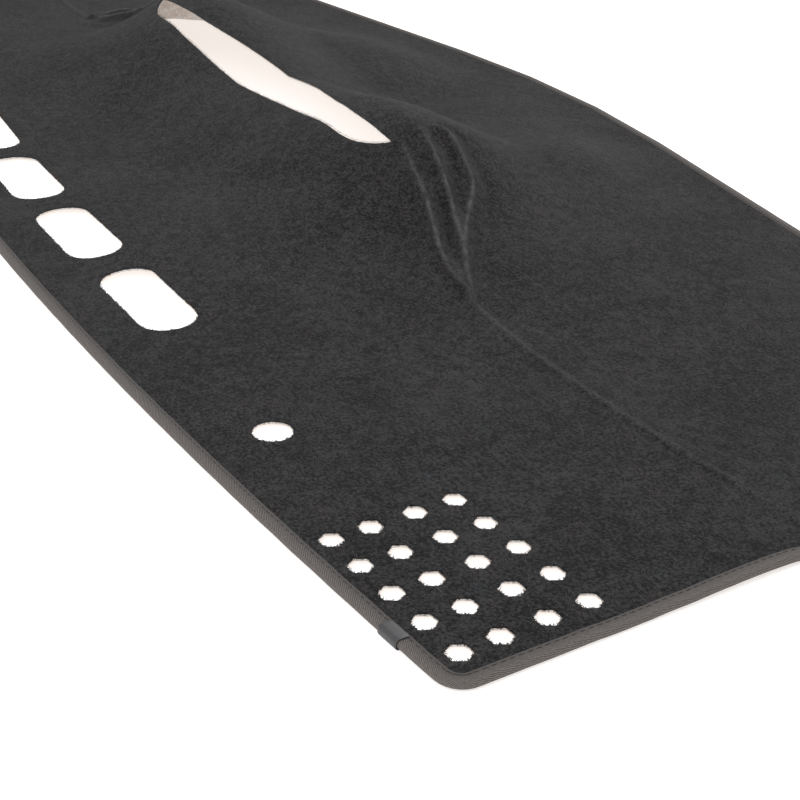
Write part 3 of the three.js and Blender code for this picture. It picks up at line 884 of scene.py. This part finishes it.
def makeStitches():
    # each stitch is a tube on an arch 1 - (2t)^4 from one needle hole to the next, above and below the tape
    s = stitching
    path = evenLoop(outline, s["pitch"])
    inward = leftNormals(path)
    tangent = np.c_[inward[:, 1], -inward[:, 0]]
    t = np.linspace(-0.5, 0.5, 5)
    arch = s["rise"] * (1 - (2 * t) ** 4) - s["sunk"]
    swell = np.array([0.35, 0.95, 1.0, 0.95, 0.35])
    angle = np.arange(5) * math.tau / 5
    r = s["radius"] * swell
    lift = edgeLift(*path.T)
    n = len(path)
    points, faces, total = [], [], 0
    for side in (1, -1):
        base = cut["midHeight"] + lift + side * s["level"]
        along = path[:, None] + inward[:, None] * s["inset"] + tangent[:, None] * (t * s["length"])[None, :, None]
        height = base[:, None] + side * arch[None]
        flat = along[:, :, None] + inward[:, None, None] * (np.cos(angle)[None, :] * r[:, None])[None, ..., None]
        z = height[:, :, None] + (np.sin(angle)[None, :] * r[:, None])[None]
        points.append(toFrame(flat.reshape(-1, 2), z.ravel()))
        start = total + (np.arange(n)[:, None, None] * 25 + np.arange(4)[None, :, None] * 5)
        a = (start + np.arange(5)).ravel()
        b = (start + (np.arange(5) + 1) % 5).ravel()
        faces.append(np.c_[a, b, b + 5, a + 5])
        total += n * 25
    piece = buildMesh("binding_stitches", np.concatenate(points), faces, threadMaterial)
    weld(piece, 1e-7)
    return piece


stitches = makeStitches()
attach(stitches, "root")
print("stitches", len(stitches.data.polygons))

# Cover over the joint of the tape
jointCover = dict(
    fromCorner=42.5, length=13.0, thickness=0.5, gap=0.3, lap=6.2,
    bend=2.0, dip=0.3, edgeSoft=0.2,
)


def coverMaterial():
    # smooth plastic film with faint streaks in its colour and a fine grain in its gloss
    material, tree, principled = newMaterial("smoothSleeve")
    place = addNode(tree, "ShaderNodeTexCoord")
    streak = noiseNode(tree, place.outputs["Object"], 220, 3)
    fine = noiseNode(tree, place.outputs["Object"], 2500, 2)
    colour = mixColours(tree, streak, (0.026, 0.026, 0.028, 1), (0.045, 0.045, 0.048, 1))
    tree.links.new(colour, principled.inputs["Base Color"])
    gloss = mathNode(tree, "ADD", mathNode(tree, "MULTIPLY", fine, 0.2), 0.34)
    tree.links.new(gloss, principled.inputs["Roughness"])
    addBump(tree, principled, streak, 0.15, 0.0003)
    principled.inputs["Specular IOR Level"].default_value = 0.36
    return material


def makeJointCover():
    c = jointCover
    wall = c["gap"] + c["thickness"]
    half = binding["thickness"] / 2 + c["gap"] + c["thickness"]
    outer, inner = foldedProfile(half, c["thickness"], c["lap"], -wall, c["bend"], c["dip"])
    middleX = c["fromCorner"] - cut["frontHalfLength"]
    tilt = math.asin(middleX / cut["frontRadius"])
    along = np.array([-math.cos(tilt), math.sin(tilt)])
    inward = np.array([-math.sin(tilt), -math.cos(tilt)])
    place = np.linspace(-0.5, 0.5, 9) * c["length"]
    path = np.array([middleX, float(frontEdge(middleX))]) + along * place[:, None]
    heights = np.full(len(path), cut["midHeight"] + float(edgeLift(*path[4])))
    normals = np.repeat(inward[None], len(path), 0)
    piece = sweep("tape_joint_cover", path, normals, heights, outer, inner, coverMaterial(), False)
    weld(piece, 1e-6)
    soft = piece.modifiers.new("soft edges", "BEVEL")
    soft.width, soft.segments, soft.limit_method = c["edgeSoft"] * mm, 2, "ANGLE"
    return piece


sleeve = makeJointCover()
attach(sleeve, "root")
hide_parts("binding_joint_cover")
print("joint cover", len(sleeve.data.polygons))

# Floor, light and camera
studio = dict(
    floor=0.8, glow=(0.55, 0.52, 0.50), sky=0.85,
    # name, place in metres, power and size
    lights=[
        ("key", (0.5, -1.3, 1.5), 24.0, 1.2),
        ("sky side", (-0.5, 1.1, 1.5), 15.0, 1.6),
        ("low", (-1.9, 0.9, 0.5), 5.0, 0.9),
    ],
)
photoCamera = dict(
    place=(-1095.0, 173.1 + cut["shiftY"], 351.3),
    heading=(0.88342, -0.46858), right=(-0.46858, -0.88342),  # level directions, at right angles
    pitch=27.042, roll=2.103, focalPixels=1450.0, framePixels=800.0, sensor=36.0,
)


def makeFloor():
    # a pale plane that glows a little, so that it renders as plain white
    material, _, principled = newMaterial("whiteFloor")
    principled.inputs["Base Color"].default_value = (studio["floor"],) * 3 + (1,)
    principled.inputs["Roughness"].default_value = 0.9
    principled.inputs["Emission Color"].default_value = (*studio["glow"], 1)
    principled.inputs["Emission Strength"].default_value = 1.0
    mesh = bpy.data.meshes.new("floor")
    mesh.from_pydata([(-6, -6, 0), (6, -6, 0), (6, 6, 0), (-6, 6, 0)], [], [(0, 1, 2, 3)])
    mesh.materials.append(material)
    floor = bpy.data.objects.new("floor", mesh)
    bpy.context.collection.objects.link(floor)


def placed(thing, name, columns, place):
    # a new object whose axes are the columns, at the place
    rows = [(*row, p) for row, p in zip(columns, place)]
    holder = bpy.data.objects.new(name, thing)
    holder.matrix_world = Matrix(rows + [(0, 0, 0, 1)])
    bpy.context.collection.objects.link(holder)
    return holder


def areaLight(name, place, power, size):
    # points at the frame's origin
    light = bpy.data.lights.new(name, "AREA")
    light.energy, light.size = power, size
    away = -np.array(place, float)
    away /= np.linalg.norm(away)
    side = np.cross(away, (0, 0, 1.0))
    side /= np.linalg.norm(side)
    up = np.cross(side, away)
    placed(light, name, np.c_[side, up, -away], place)


def makeCamera():
    # stands where the photograph was taken from, pitched down and then rolled
    c = photoCamera
    pitch, roll = math.radians(c["pitch"]), math.radians(c["roll"])
    heading, level, up = np.array([*c["heading"], 0]), np.array([*c["right"], 0]), np.array([0, 0, 1.0])
    forward = heading * math.cos(pitch) - up * math.sin(pitch)
    over = heading * math.sin(pitch) + up * math.cos(pitch)
    right = math.cos(roll) * level + math.sin(roll) * over
    top = -math.sin(roll) * level + math.cos(roll) * over
    lens = bpy.data.cameras.new("photo")
    lens.sensor_width = c["sensor"]
    lens.lens = c["sensor"] * c["focalPixels"] / c["framePixels"]
    lens.clip_start = 0.01
    place = [p * mm for p in c["place"]]
    bpy.context.scene.camera = placed(lens, "photo", np.c_[right, top, -forward], place)


makeFloor()
world = bpy.data.worlds.new("studio")
world.use_nodes = True
background = findNode(world.node_tree, "BACKGROUND")
background.inputs["Color"].default_value = (1, 1, 1, 1)
background.inputs["Strength"].default_value = studio["sky"]
bpy.context.scene.world = world
bpy.context.scene.view_settings.view_transform = "Standard"
for light in studio["lights"]:
    areaLight(*light)
makeCamera()

print("stage and camera made")
